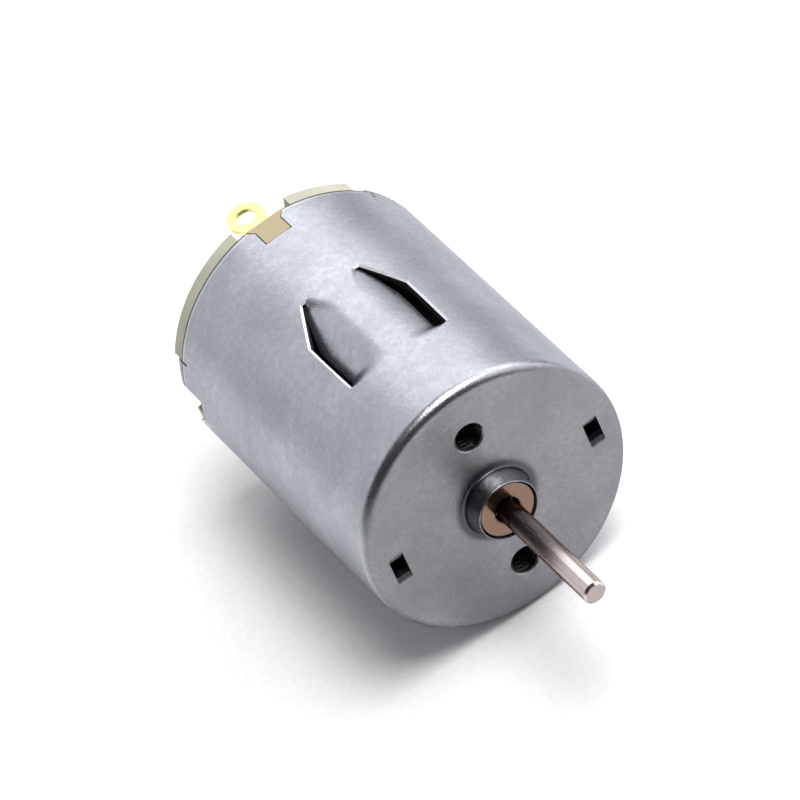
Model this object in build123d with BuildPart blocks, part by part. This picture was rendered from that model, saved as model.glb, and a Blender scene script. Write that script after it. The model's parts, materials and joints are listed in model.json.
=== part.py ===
from build123d import *
import os
from math import cos, radians, sin

os.makedirs("parts", exist_ok=True)

# Small brushed DC motor. The origin is the centre of the front mounting face, on the shaft's axis.
# The shaft points along -Y, the end cap is at +Y, and the terminals stand at +Z and -Z.
# Angles round the shaft, in degrees, start at +Z and grow anticlockwise as seen from the front.

# ---- Driving dimensions, millimetres ----
can_radius = 12.1
can_length = 29.6
can_wall = 0.9
can_corner = 0.9
can_inner_radius = can_radius - can_wall
front_wall = 1.0

boss_radius = 3.05
boss_height = 1.75
boss_root = 0.15
boss_edge = 0.1

shaft_radius = 1.0
shaft_tip = -14.7
shaft_rear = 32.3
shaft_chamfer = 0.2
neck_radius = 0.8
neck_start = -1.6
neck_length = 0.6
running_gap = 0.02

bush_radius = 2.6
bush_recess = 0.2
front_bush_end = 1.5
rear_bush_start = 28.9
rear_bush_end = 31.7
bush_edge = 0.15

hole_circle = 7.3
hole_radius = 1.1
hole_collar_radius = 1.9
hole_collar_end = 2.0
slot_circle = 9.5
slot_depth = 1.35
slot_width = 3.0
slot_corner = 0.2
slot_upper_ramp = 0.65
slot_upper_ramp_depth = 0.25
slot_lower_ramp = 0.5
slot_lower_ramp_depth = 0.28

# Each pressed-in vent: its cut outline, as (angle, distance behind the front face).
vent_fold_angle = 4.5
vent_outline = [(4.5, 9.0), (17.0, 8.25), (23.3, 8.7), (23.8, 14.9), (14.0, 18.95), (10.3, 18.8), (4.5, 17.8)]
vent_middle_angle = 14.0
vent_dip_angle = 12.0
vent_side_gap = 0.45
vent_end_gap = 0.1

notch_half_width = 1.3
notch_depth = 2.65
notch_mouth_half_width = 1.9
notch_mouth_depth = 0.8

ear_length = 1.0
ear_spans = [(68.5, 80.0), (-60.0, -49.5)]
slit_width = 0.22
slit_depth = 0.8
side_notch_half_width = 2.0
side_notch_depth = 2.6
lug_half_width = 0.76
lug_length = 1.05

cap_gap = 0.05
cap_wall_inner = 10.1
cap_start = 25.2
cap_plate_start = 29.3
cap_plate_rear = 30.35
cap_rear = 30.9
flange_radius = 12.1
flange_inner = 10.6
flange_spans = [(12.5, 67.3), (-41.0, -12.5)]
cap_boss_radius = 3.9
cap_boss_rear = 32.0
cap_boss_front = 28.95
cap_edge = 0.18
key_gap = 0.1

terminal_height = 9.1
terminal_thickness = 0.4
terminal_width = 3.0
terminal_neck_width = 2.6
terminal_start = 24.8
terminal_shoulder = 31.3
eye_centre = 34.35
eye_outer_radius = 1.65
eye_hole_radius = 0.9

arm_thickness = 0.2
arm_line = 3.3
arm_start = 24.7
arm_width = 2.0
arm_bend = 1.2
arm_end = -3.2
brush_half_height = 1.1
brush_start = 24.95
brush_length = 1.5
brush_gap = 0.08
damper_thickness = 0.7

magnet_inner_radius = 8.4
magnet_outer_radius = 11.15
magnet_half_span = 57.0
magnet_start = 4.0
magnet_length = 18.0
magnet_edge = 0.3
spring_thickness = 0.3
spring_start = 4.4
spring_width = 3.0
spring_half_span = 30.5
spring_lip = 1.6

core_radius = 8.0
core_start = 7.6
sheet_count = 20
sheet_thickness = 0.5
sheet_pitch = 0.6
core_end = core_start + (sheet_count - 1) * sheet_pitch + sheet_thickness
pole_head_inner = 7.05
pole_gap = 2.2
pole_arm_width = 2.4
core_hub_radius = 2.9
insulator_thickness = 0.6
insulator_radius = 7.85

coil_inner_radius = 3.25
coil_outer_radius = 6.85
coil_half_width = 3.3
coil_hole_half_width = 1.35
coil_overhang = 2.4
coil_edge = 1.1

hub_start = 22.9
hub_end = 28.3
hub_radius = 2.0
hub_flange_radius = 3.0
hub_flange_end = 23.5
hub_nose_start = 27.5
hub_nose_radius = 1.7
segment_radius = 2.3
segment_end = 27.3
gap_angle = 3.5
tang_reach = 4.1
tang_width = 1.2
tang_thickness = 0.3
ring_start = 26.9
ring_end = 27.5
ring_radius = 2.75
solder_radius = 0.48
solder_circle = 3.6

washer_radius = 2.2
washer_thickness = 0.4
washer_gap = 0.12
sleeve_radius = 1.8

TURNS = (0, 180)
POLES = (0, 120, 240)


def across(y):
    """The plane square to the shaft at y, with sketch x along X and sketch y along Z."""
    return Plane.XZ.offset(-y)


def facing(angle):
    """The plane through the axis whose normal points outwards at this angle; sketch y is Y."""
    turn = radians(angle)
    return Plane(origin=(0, 0, 0), x_dir=(cos(turn), 0, sin(turn)), z_dir=(-sin(turn), 0, cos(turn)))


def spot(angle, radius):
    """A point on an across() plane, at this angle and radius."""
    return (-radius * sin(radians(angle)), radius * cos(radians(angle)))


def wedge(start, end):
    """Keeps the pie slice of the sketch between two angles."""
    reach = 2 * can_radius
    Polygon((0, 0), spot(start, reach), spot((start + end) / 2, reach), spot(end, reach),
            align=None, mode=Mode.INTERSECT)


def ring_sector(plane, inner, outer, start, end, length):
    """A curved bar between two radii and two angles, running back from the plane."""
    with BuildPart() as bar:
        with BuildSketch(plane):
            Circle(outer)
            Circle(inner, mode=Mode.SUBTRACT)
            wedge(start, end)
        extrude(amount=-length)
    return bar.part


def tube(inner, outer, start, end):
    """A plain ring on the shaft's axis, from y = start to y = end."""
    with BuildPart() as ring:
        with BuildSketch(across(start)):
            Circle(outer)
            Circle(inner, mode=Mode.SUBTRACT)
        extrude(amount=start - end)
    return ring.part


def vent_points(side, side_gap, end_gap):
    """The vent's outline on its own facing() plane, with its cut sides moved in by the gaps."""
    points = []
    for angle, y in vent_outline:
        x = -side * can_radius * sin(radians(angle - vent_middle_angle))
        if angle > vent_middle_angle:
            x += side * side_gap
        points.append((x, y - end_gap if y > can_length / 2 else y + end_gap))
    return points


def vent_flap(turn, side):
    """The flap of can wall that stays joined along its fold line and dips inwards."""
    middle = turn + side * vent_middle_angle
    limits = sorted((turn + side * (vent_fold_angle - 0.8), turn + side * 25))
    with BuildPart() as flap:
        with BuildSketch(across(8)):
            Circle(can_radius)
            Circle(can_inner_radius, mode=Mode.SUBTRACT)
            wedge(*limits)
        extrude(amount=-12)
        with BuildSketch(facing(middle).offset(8)):
            points = vent_points(side, vent_side_gap, vent_end_gap)
            fold_x = side * can_radius * sin(radians(vent_middle_angle - vent_fold_angle + 0.8))
            Polygon((fold_x, points[0][1]), *points[1:-1], (fold_x, points[-1][1]), align=None)
        extrude(amount=8, mode=Mode.INTERSECT)
    x, z = spot(turn + side * (vent_fold_angle - 0.8), can_radius)
    return flap.part.rotate(Axis((x, 0, z), (0, 1, 0)), -side * vent_dip_angle)


# ---- Can: drawn steel, with its boss, holes, vents, notches and crimp ears ----
vent_flaps = [vent_flap(turn, side) for turn in TURNS for side in (1, -1)]

with BuildPart() as can:
    with BuildSketch(Plane.XY):
        with BuildLine():
            Polyline(
                (can_radius, can_corner),
                (can_radius, can_length),
                (can_inner_radius, can_length),
                (can_inner_radius, front_wall + can_corner),
                (can_inner_radius - can_corner, front_wall),
                (bush_radius, front_wall),
                (bush_radius, bush_recess - boss_height),
                (boss_radius - 2.5 * boss_edge, -boss_height),
                (boss_radius - boss_edge, -boss_height),
                (boss_radius, boss_edge - boss_height),
                (boss_radius, -boss_root),
            )
            CenterArc((boss_radius + boss_root, -boss_root), boss_root, 180, -90)
            Line((boss_radius + boss_root, 0), (can_radius - can_corner, 0))
            CenterArc((can_radius - can_corner, can_corner), can_corner, -90, 90)
        make_face()
    revolve(axis=Axis.Y)
    with BuildSketch(across(hole_collar_end)):
        with PolarLocations(hole_circle, 2, start_angle=90):
            Circle(hole_collar_radius)
    extrude(amount=hole_collar_end - front_wall / 2)
    with BuildSketch(across(hole_collar_end)):
        with PolarLocations(hole_circle, 2, start_angle=90):
            Circle(hole_radius)
    extrude(amount=hole_collar_end + 1, mode=Mode.SUBTRACT)
    # Both ends of each slot slope in from the face; the middle goes straight through.
    slot_top = slot_width / 2 - slot_upper_ramp
    slot_bottom = slot_lower_ramp - slot_width / 2
    for side in (1, -1):
        with BuildSketch(across(2 * front_wall)):
            with Locations((side * slot_circle, (slot_top + slot_bottom) / 2)):
                RectangleRounded(slot_depth, slot_top - slot_bottom, slot_corner)
        extrude(amount=3 * front_wall, mode=Mode.SUBTRACT)
        with BuildSketch(Plane.YZ.offset(side * slot_circle - slot_depth / 2)):
            Polygon(
                (-front_wall, slot_width / 2),
                (0, slot_width / 2),
                (slot_upper_ramp_depth, slot_top),
                (slot_lower_ramp_depth, slot_bottom),
                (0, -slot_width / 2),
                (-front_wall, -slot_width / 2),
                align=None,
            )
        extrude(amount=slot_depth, mode=Mode.SUBTRACT)
    for turn in TURNS:
        for side in (1, -1):
            with BuildSketch(facing(turn + side * vent_middle_angle).offset(8)):
                Polygon(*vent_points(side, 0, 0), align=None)
            extrude(amount=8, mode=Mode.SUBTRACT)
    for flap in vent_flaps:
        add(flap)
    with BuildSketch(Plane.XY):
        Polygon(
            (-notch_half_width, can_length - notch_depth),
            (notch_half_width, can_length - notch_depth),
            (notch_half_width, can_length - notch_mouth_depth),
            (notch_mouth_half_width, can_length),
            (notch_mouth_half_width, can_length + 1),
            (-notch_mouth_half_width, can_length + 1),
            (-notch_mouth_half_width, can_length),
            (-notch_half_width, can_length - notch_mouth_depth),
            align=None,
        )
    extrude(amount=2 * can_radius, both=True, mode=Mode.SUBTRACT)
    for turn in TURNS:
        for start, end in ear_spans:
            with BuildSketch(across(can_length - slit_depth)):
                Circle(can_radius)
                Circle(can_inner_radius, mode=Mode.SUBTRACT)
                wedge(turn + start, turn + end)
            extrude(amount=-slit_depth - ear_length)
            for slit in (start - 0.5, end + 0.5):
                with BuildSketch(facing(turn + slit).offset(can_inner_radius - 1)):
                    with Locations((0, can_length)):
                        Rectangle(slit_width, 2 * slit_depth)
                extrude(amount=3, mode=Mode.SUBTRACT)
        with BuildSketch(facing(turn + 90).offset(can_inner_radius - 1)):
            with Locations((0, can_length)):
                Rectangle(2 * side_notch_half_width, 2 * side_notch_depth)
        extrude(amount=3, mode=Mode.SUBTRACT)
can.part.label = "can"
export_step(can.part, "parts/can.step")

# ---- Sintered bronze bushes ----
with BuildPart() as front_bush:
    with BuildSketch(Plane.XY):
        front = bush_recess - boss_height
        Polygon(
            (shaft_radius + running_gap, front + bush_edge),
            (shaft_radius + running_gap + bush_edge, front),
            (bush_radius - bush_edge, front),
            (bush_radius, front + bush_edge),
            (bush_radius, front_bush_end),
            (shaft_radius + running_gap, front_bush_end),
            align=None,
        )
    revolve(axis=Axis.Y)
front_bush.part.label = "front_bush"
export_step(front_bush.part, "parts/front_bush.step")

with BuildPart() as rear_bush:
    with BuildSketch(Plane.XY):
        Polygon(
            (shaft_radius + running_gap, rear_bush_start),
            (bush_radius, rear_bush_start),
            (bush_radius, rear_bush_end - bush_edge),
            (bush_radius - bush_edge, rear_bush_end),
            (shaft_radius + running_gap + bush_edge, rear_bush_end),
            (shaft_radius + running_gap, rear_bush_end - bush_edge),
            align=None,
        )
    revolve(axis=Axis.Y)
rear_bush.part.label = "rear_bush"
export_step(rear_bush.part, "parts/rear_bush.step")

# ---- End cap: moulded nylon plug, flange and rear boss ----
plug_radius = can_inner_radius - cap_gap
flange_bars = []
for turn in TURNS:
    for start, end in flange_spans:
        with BuildPart() as bar:
            add(ring_sector(
                across(can_length), flange_inner, flange_radius,
                turn + start, turn + end, cap_rear - can_length,
            ))
            fillet(bar.faces().sort_by(Axis.Y)[-1].edges(), radius=cap_edge)
        flange_bars.append(bar.part)

with BuildPart() as end_cap:
    with BuildSketch(across(cap_plate_start)):
        Circle(plug_radius)
    extrude(amount=cap_plate_start - cap_plate_rear)
    for bar in flange_bars:
        add(bar)
    with BuildSketch(across(cap_boss_front)):
        Circle(cap_boss_radius)
    extrude(amount=cap_boss_front - cap_boss_rear)
    fillet(end_cap.faces().sort_by(Axis.Y)[-1].edges(), radius=cap_edge)
    with BuildSketch(across(cap_start)):
        Circle(plug_radius)
        Circle(cap_wall_inner, mode=Mode.SUBTRACT)
    extrude(amount=cap_start - cap_plate_start)
    for turn in TURNS:
        # The seat that backs each terminal, and the key that fills the can's notch.
        with BuildSketch(facing(turn).offset(terminal_height - 1.6)):
            with Locations((0, (cap_start + cap_plate_start) / 2)):
                Rectangle(2 * terminal_width, cap_plate_start - cap_start)
        extrude(amount=cap_wall_inner - terminal_height + 2.2)
        with BuildSketch(facing(turn).offset(cap_wall_inner)):
            Polygon(
                (key_gap - notch_half_width, can_length - notch_depth + key_gap),
                (notch_half_width - key_gap, can_length - notch_depth + key_gap),
                (notch_half_width - key_gap, can_length - notch_mouth_depth),
                (notch_mouth_half_width - key_gap, can_length - 0.05),
                (key_gap - notch_mouth_half_width, can_length - 0.05),
                (key_gap - notch_half_width, can_length - notch_mouth_depth),
                align=None,
            )
        extrude(amount=can_radius - cap_wall_inner - 0.05)
        # The lug that stands in the can's side notch.
        with BuildSketch(facing(turn + 90).offset(cap_wall_inner)):
            with Locations((0, can_length - side_notch_depth + key_gap + lug_length / 2)):
                Rectangle(2 * lug_half_width, lug_length)
        extrude(amount=can_radius - cap_wall_inner - 0.05)
        # The slot that the terminal passes through, open towards the brush arm's run.
        with BuildSketch(facing(turn).offset(terminal_height - terminal_thickness / 2 - 0.03)):
            with Locations((0, can_length)):
                Rectangle(terminal_width + 0.1, 4 * notch_depth)
        extrude(amount=terminal_thickness + 0.06, mode=Mode.SUBTRACT)
        with BuildSketch(facing(turn).offset(terminal_height - 2)):
            with Locations((0, arm_start + arm_width / 2)):
                Rectangle(2 * terminal_width + 1, arm_width + 0.3)
        extrude(amount=2 - terminal_thickness / 2, mode=Mode.SUBTRACT)
    with BuildSketch(across(cap_boss_front)):
        Circle(bush_radius)
    extrude(amount=cap_boss_front - cap_boss_rear, mode=Mode.SUBTRACT)
end_cap.part.label = "end_cap"
export_step(end_cap.part, "parts/end_cap.step")

# ---- Terminals, brush arms, brushes and dampers, one set at each side ----
for turn, side in zip(TURNS, "ab"):
    seat = facing(turn).offset(terminal_height - terminal_thickness / 2)
    with BuildPart() as terminal:
        with BuildSketch(seat):
            with Locations((0, (terminal_start + terminal_shoulder) / 2)):
                Rectangle(terminal_width, terminal_shoulder - terminal_start)
            with Locations((0, (terminal_start + eye_centre) / 2)):
                Rectangle(terminal_neck_width, eye_centre - terminal_start)
            with Locations((0, eye_centre)):
                Circle(eye_outer_radius)
                Circle(eye_hole_radius, mode=Mode.SUBTRACT)
        extrude(amount=terminal_thickness)
    terminal.part.label = f"terminal_{side}"
    export_step(terminal.part, f"parts/terminal_{side}.step")

    # Seen from the front, the arm leaves the terminal's foot and runs down past the commutator.
    hand = 1 if side == "a" else -1
    arm_top = terminal_height - terminal_thickness / 2
    with BuildPart() as brush_arm:
        with BuildSketch(across(arm_start)):
            with BuildLine():
                FilletPolyline(
                    (-hand * terminal_width / 2, hand * (arm_top - arm_thickness / 2)),
                    (hand * (arm_line + arm_thickness / 2), hand * (arm_top - arm_thickness / 2)),
                    (hand * (arm_line + arm_thickness / 2), hand * arm_end),
                    radius=arm_bend,
                )
                offset(amount=arm_thickness / 2, side=Side.BOTH)
            make_face()
        extrude(amount=-arm_width)
    brush_arm.part.label = f"brush_arm_{side}"
    export_step(brush_arm.part, f"parts/brush_arm_{side}.step")

    with BuildPart() as brush:
        with BuildSketch(across(brush_start)):
            with Locations((hand * arm_line / 2, 0)):
                Rectangle(arm_line, 2 * brush_half_height)
            Circle(segment_radius + brush_gap, mode=Mode.SUBTRACT)
        extrude(amount=-brush_length)
    brush.part.label = f"brush_{side}"
    export_step(brush.part, f"parts/brush_{side}.step")

    with BuildPart() as damper:
        with BuildSketch(across(brush_start - 0.1)):
            with Locations((hand * (arm_line + arm_thickness + damper_thickness / 2), 0)):
                RectangleRounded(damper_thickness, 2.6, 0.2)
        extrude(amount=-brush_length - 0.2)
    damper.part.label = f"brush_damper_{side}"
    export_step(damper.part, f"parts/brush_damper_{side}.step")

# ---- Ferrite magnets at each side, and the leaf springs that hold them apart ----
for middle, side in zip((90, -90), "ab"):
    with BuildPart() as magnet:
        add(ring_sector(
            across(magnet_start), magnet_inner_radius, magnet_outer_radius,
            middle - magnet_half_span, middle + magnet_half_span, magnet_length,
        ))
        chamfer(magnet.faces().sort_by(Axis.Y)[-1].edges(), length=magnet_edge)
        chamfer(magnet.faces().sort_by(Axis.Y)[0].edges(), length=magnet_edge)
    magnet.part.label = f"magnet_{side}"
    export_step(magnet.part, f"parts/magnet_{side}.step")

for turn, side in zip(TURNS, "ab"):
    with BuildPart() as spring:
        add(ring_sector(
            across(spring_start), magnet_outer_radius - spring_thickness, magnet_outer_radius,
            turn - spring_half_span, turn + spring_half_span, spring_width,
        ))
        for end in (-1, 1):
            add(ring_sector(
                across(spring_start), magnet_outer_radius - spring_lip, magnet_outer_radius,
                turn + end * spring_half_span - 0.8, turn + end * spring_half_span + 0.8,
                spring_width,
            ))
    spring.part.label = f"magnet_spring_{side}"
    export_step(spring.part, f"parts/magnet_spring_{side}.step")

# ---- Shaft ----
with BuildPart() as shaft:
    with BuildSketch(across(shaft_tip)):
        Circle(shaft_radius)
    extrude(amount=shaft_tip - shaft_rear)
    chamfer(shaft.edges(), length=shaft_chamfer)
    # The oil-throwing neck, at the mouth of the front bush.
    add(tube(neck_radius, shaft_radius, neck_start, neck_start + neck_length), mode=Mode.SUBTRACT)
shaft.part.label = "shaft"
export_step(shaft.part, "parts/shaft.step")


# ---- Armature core: three-pole steel sheets, with an insulating plate at each end ----
def pole_profile(head_outer):
    """The three-pole outline: hub, arms and curved heads, with the shaft's hole."""
    Circle(head_outer)
    Circle(pole_head_inner, mode=Mode.SUBTRACT)
    with PolarLocations(head_outer, 3, start_angle=-90):
        Rectangle(2 * (head_outer - pole_head_inner) + 1, pole_gap, mode=Mode.SUBTRACT)
    with PolarLocations((shaft_radius + pole_head_inner + 0.3) / 2, 3, start_angle=90):
        Rectangle(pole_head_inner + 0.3 - shaft_radius, pole_arm_width)
    Circle(core_hub_radius)
    Circle(shaft_radius, mode=Mode.SUBTRACT)


with BuildPart() as core:
    with BuildSketch(*[across(core_start + i * sheet_pitch) for i in range(sheet_count)]):
        pole_profile(core_radius)
    extrude(amount=-sheet_thickness)
core.part.label = "core_laminations"
export_step(core.part, "parts/core_laminations.step")

for start, place in ((core_start - insulator_thickness, "front"), (core_end, "rear")):
    with BuildPart() as insulator:
        with BuildSketch(across(start)):
            pole_profile(insulator_radius)
        extrude(amount=-insulator_thickness)
    insulator.part.label = f"insulator_{place}"
    export_step(insulator.part, f"parts/insulator_{place}.step")

# ---- Windings: one coil round each pole's arm ----
coil_start = core_start - insulator_thickness
coil_end = core_end + insulator_thickness
for number, angle in enumerate(POLES, 1):
    middle_y = (coil_start + coil_end) / 2
    with BuildPart() as winding:
        with BuildSketch(facing(angle).offset(coil_inner_radius)):
            with Locations((0, middle_y)):
                RectangleRounded(
                    2 * coil_half_width, coil_end - coil_start + 2 * coil_overhang,
                    coil_half_width - coil_edge,
                )
        extrude(amount=coil_outer_radius - coil_inner_radius)
        with BuildSketch(across(0)):
            Circle(coil_outer_radius)
        extrude(amount=-can_length, mode=Mode.INTERSECT)
        with BuildSketch(facing(angle).offset(coil_inner_radius - 1)):
            with Locations((0, middle_y)):
                Rectangle(2 * coil_hole_half_width, coil_end - coil_start + 0.1)
        extrude(amount=coil_outer_radius, mode=Mode.SUBTRACT)
    winding.part.label = f"winding_{number}"
    export_step(winding.part, f"parts/winding_{number}.step")

# ---- Commutator ----
with BuildPart() as hub:
    with BuildSketch(Plane.XY):
        Polygon(
            (shaft_radius, hub_start),
            (hub_flange_radius, hub_start),
            (hub_flange_radius, hub_flange_end),
            (hub_radius, hub_flange_end),
            (hub_radius, hub_nose_start),
            (hub_nose_radius, hub_nose_start),
            (hub_nose_radius, hub_end),
            (shaft_radius, hub_end),
            align=None,
        )
    revolve(axis=Axis.Y)
hub.part.label = "commutator_hub"
export_step(hub.part, "parts/commutator_hub.step")

for number, angle in enumerate(POLES, 1):
    with BuildPart() as segment:
        with BuildSketch(across(hub_flange_end)):
            Circle(segment_radius)
            Circle(hub_radius, mode=Mode.SUBTRACT)
            wedge(angle - 59.9, angle + 59.9)
            for edge in (angle - 60, angle + 60):
                Polygon(
                    spot(edge - gap_angle, hub_radius - 0.1), spot(edge - gap_angle, segment_radius + 0.1),
                    spot(edge + gap_angle, segment_radius + 0.1), spot(edge + gap_angle, hub_radius - 0.1),
                    align=None, mode=Mode.SUBTRACT,
                )
        extrude(amount=hub_flange_end - segment_end)
        with BuildSketch(facing(angle).offset(segment_radius - 0.15)):
            with Locations((0, hub_flange_end + tang_thickness / 2)):
                Rectangle(tang_width, tang_thickness)
        extrude(amount=tang_reach - segment_radius + 0.15)
    segment.part.label = f"commutator_segment_{number}"
    export_step(segment.part, f"parts/commutator_segment_{number}.step")

with BuildPart() as ring:
    add(tube(segment_radius, ring_radius, ring_start, ring_end))
ring.part.label = "commutator_ring"
export_step(ring.part, "parts/commutator_ring.step")

with BuildPart() as solder:
    for angle in POLES:
        x, z = spot(angle, solder_circle)
        with Locations((x, hub_flange_end, z)):
            Sphere(solder_radius)
    with BuildSketch(across(hub_flange_end)):
        Circle(2 * tang_reach)
    extrude(amount=-2, mode=Mode.SUBTRACT)
solder.part.label = "solder_joints"
export_step(solder.part, "parts/solder_joints.step")

# ---- Loose pieces on the shaft ----
front_washer_start = front_bush_end + washer_gap
front_washer_end = front_washer_start + washer_thickness
with BuildPart() as front_washer:
    add(tube(shaft_radius, washer_radius, front_washer_start, front_washer_end))
front_washer.part.label = "thrust_washer_front"
export_step(front_washer.part, "parts/thrust_washer_front.step")

rear_washer_end = rear_bush_start - washer_gap
with BuildPart() as rear_washer:
    add(tube(shaft_radius, washer_radius, rear_washer_end - washer_thickness, rear_washer_end))
rear_washer.part.label = "thrust_washer_rear"
export_step(rear_washer.part, "parts/thrust_washer_rear.step")

with BuildPart() as sleeve:
    add(tube(shaft_radius, sleeve_radius, front_washer_end, core_start - insulator_thickness))
sleeve.part.label = "spacer_sleeve"
export_step(sleeve.part, "parts/spacer_sleeve.step")
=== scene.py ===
import json
import random
from math import atan2, cos, hypot, pi, radians, sin

import bpy
from mathutils import Matrix, Vector
from mathutils.geometry import delaunay_2d_cdt


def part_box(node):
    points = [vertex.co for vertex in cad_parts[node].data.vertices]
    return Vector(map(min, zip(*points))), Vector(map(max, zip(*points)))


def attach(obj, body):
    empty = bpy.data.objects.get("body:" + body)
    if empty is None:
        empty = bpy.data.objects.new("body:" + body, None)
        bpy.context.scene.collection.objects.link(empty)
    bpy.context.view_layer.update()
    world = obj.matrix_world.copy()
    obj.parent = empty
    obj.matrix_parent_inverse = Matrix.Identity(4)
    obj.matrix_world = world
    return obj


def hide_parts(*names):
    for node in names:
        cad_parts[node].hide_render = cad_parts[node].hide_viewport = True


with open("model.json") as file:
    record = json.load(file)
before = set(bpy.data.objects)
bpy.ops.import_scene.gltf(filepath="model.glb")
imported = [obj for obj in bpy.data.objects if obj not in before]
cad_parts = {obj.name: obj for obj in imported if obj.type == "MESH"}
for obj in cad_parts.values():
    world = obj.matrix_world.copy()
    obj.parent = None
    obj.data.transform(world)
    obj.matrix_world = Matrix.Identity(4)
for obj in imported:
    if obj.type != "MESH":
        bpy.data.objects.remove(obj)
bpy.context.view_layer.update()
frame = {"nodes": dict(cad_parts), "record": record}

# The model is in metres; shapes below are worked out in millimetres and scaled by MM.
# The shaft lies along Y and points to -Y. Angles round it start at +Z and grow towards -X.
MM = 0.001


def node_box_mm(node):
    """A CAD node's lowest and highest corner, in millimetres."""
    low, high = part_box(node)
    return low / MM, high / MM


# ---------------------------------------------------------------- sizes taken from the frame
can_low, can_high = node_box_mm("can")
bush_low, bush_high = node_box_mm("front_bush")
CAN_RADIUS = (can_high.x - can_low.x) / 2
BOSS_FRONT = can_low.y
EAR_END = can_high.y
EAR_LENGTH = 1.0
CAN_END = EAR_END - EAR_LENGTH
BUSH_RADIUS = (bush_high.x - bush_low.x) / 2

# ---------------------------------------------------------------- the can's own sizes
CAN_WALL = 0.9
FRONT_WALL = 1.0
CORNER = 0.9
INNER_CORNER = 0.1
# The side wall starts behind the front corner, and its inner side a little further back.
WALL_START, INNER_START, INNER_BLEND = 1.0, 1.2, 1.6

# The unrolled wall opens at SEAM, and the shapes of revolution are split into COLUMNS there.
SEAM = -135.0
COLUMNS = 288
BOSS_COLUMNS = 96
ARC = radians(1) * CAN_RADIUS

# The rear edge, in degrees and depths: the key's notch, crimp ears between slits, and a side notch.
NOTCH_MOUTH, NOTCH_THROAT = 9.03, 6.17
NOTCH_MOUTH_DEPTH, NOTCH_DEPTH = 0.8, 2.65
EARS = [(-59.98, -49.52), (68.52, 79.98)]
EAR_BEND = 0.28
SLIT_ANGLE, SLIT_DEPTH = 1.04, 0.8
SIDE_NOTCH_END, SIDE_NOTCH_DEPTH = 99.5, 2.6

# The boss round the bush, from its root fillet to its rolled rim; its inner side sits on the bush.
BOSS_RADIUS = 3.05
BOSS_ROOT = 0.22
BOSS_DRAFT = 0.34
BOSS_EDGE = 0.10
SEAT_START, SEAT_END = 0.8, -1.3

# The two tapped holes, each with a collar behind it.
HOLE_CIRCLE = 7.3
THREAD_MINOR = 1.1
THREAD_MAJOR = 1.27
THREAD_PITCH = 0.45
THREAD_SLOPE = 2.6
THREAD_START, THREAD_LENGTH = 0.12, 1.84
THREAD_STEPS = 44
MOUTH_RADIUS = THREAD_MAJOR + 0.1
COLLAR_RADIUS = 1.9
COLLAR_END = 2.0
COLLAR_CHAMFER = 0.15

# The two slots in the face: a hole between two slopes, one at each end.
SLOT_CIRCLE = 9.5
SLOT_HALF_DEPTH = 0.675
SLOT_HALF_WIDTH = 1.5
SLOT_UPPER_RAMP, SLOT_UPPER_DEPTH = 0.65, 0.25
SLOT_LOWER_RAMP, SLOT_LOWER_DEPTH = 0.5, 0.28
SLOT_LIP = 0.02
SLOT_CORNER, SLOT_CORNER_CUT = 0.2, 0.06
SLOT_UPPER_CURVE, SLOT_LOWER_CURVE = 1.3, 1.1
SLOT_TOP = SLOT_HALF_WIDTH - SLOT_UPPER_RAMP
SLOT_BOTTOM = SLOT_LOWER_RAMP - SLOT_HALF_WIDTH

# Each vent's cut, as (angle, y), and the outline that closes its flap, as (arc length, y).
VENT_CUT = [(10.3, 19.0), (14.0, 19.1), (23.9, 14.9), (23.9, 12.5), (23.6, 8.4), (17.0, 7.75)]
VENT_CLOSING = [(3.4, 6.9), (0.3, 6.9), (0.3, 20.0), (1.6, 20.0)]
FOLD_LINE = 0.65
FOLD_SOFTNESS = 0.8
CUT_LINE = 5.0
# Where the flap's dip ends, in front and behind: a point, the direction inwards, and the slope's length.
DIMPLE_ENDS = [(3.6, 7.7, -0.15, 0.99, 1.0), (2.15, 19.05, 0.85, -0.53, 0.4)]
# The two flaps of a pair differ a little; 1 is the left one, seen from the front.
FLAP_RAMP = {1: 2.2, -1: 1.4}
FLAP_DEPTH = {1: 1.3, -1: 0.82}
FLAP_GAP = {1: 0.3, -1: 0.95}
CHAMFER_OUT, CHAMFER_DOWN = 0.15, 0.17
VENT_FRONT, VENT_REAR = 7, 20

# Spacing of the mesh points: fine round the vents, coarser on the rest of the wall and the face.
VENT_REACH, VENT_START, VENT_LENGTH = 6.4, 6.4, 14.4
VENT_STEP = 0.26
WALL_STEP_ROUND, WALL_STEP_ALONG = 0.62, 0.55
FACE_STEP_X, FACE_STEP_Z = 0.65, 0.6
FACE_COUNT_X, FACE_COUNT_Z = 18, 20
SLOPE_X = (-0.45, -0.15, 0.15, 0.45)
SLOPE_Z = (1.35, 1.2, 1.05, -1.4, -1.3, -1.2, -1.1)
SEAM_STEPS = 48
MOUTH_POINTS = 48
GUARD_RADIUS, GUARD_POINTS = COLLAR_RADIUS + 0.3, 32

# Spacing of the points along the outlines, and how clear of them the loose points stay.
REAR_STEP, VENT_CUT_STEP, SLOT_STEP, SLOPE_STEP = 0.5, 0.2, 0.3, 0.15
WALL_CLEAR, VENT_CLEAR, FACE_CLEAR = 0.3, 0.12, 0.25

# The can's materials by number: 0 is the plate itself.
TORN_AND_SHADED_FACE, RUBBED_HIGHLIGHT_FACE, THREAD_FACE = 1, 2, 3

# ---------------------------------------------------------------- the windings' sizes
WIRE_RADIUS = 0.14
WIRE_PITCH = 2 * WIRE_RADIUS
WIRE_THICK = 0.96 * WIRE_RADIUS
WIRE_SIDES = 6
COIL_HOLE, COIL_WIDTH = 1.35, 3.3
COIL_BOTTOM, COIL_TOP = 3.25, 6.85
BEND_RADIUS, BEND_GROWTH = 0.35, 0.12
WIRE_WOBBLE = 0.02

# ---------------------------------------------------------------- the CAD pieces that stay
REPLACED = ("can", "winding_1", "winding_2", "winding_3")
SOFT_EDGE = 0.04

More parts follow.
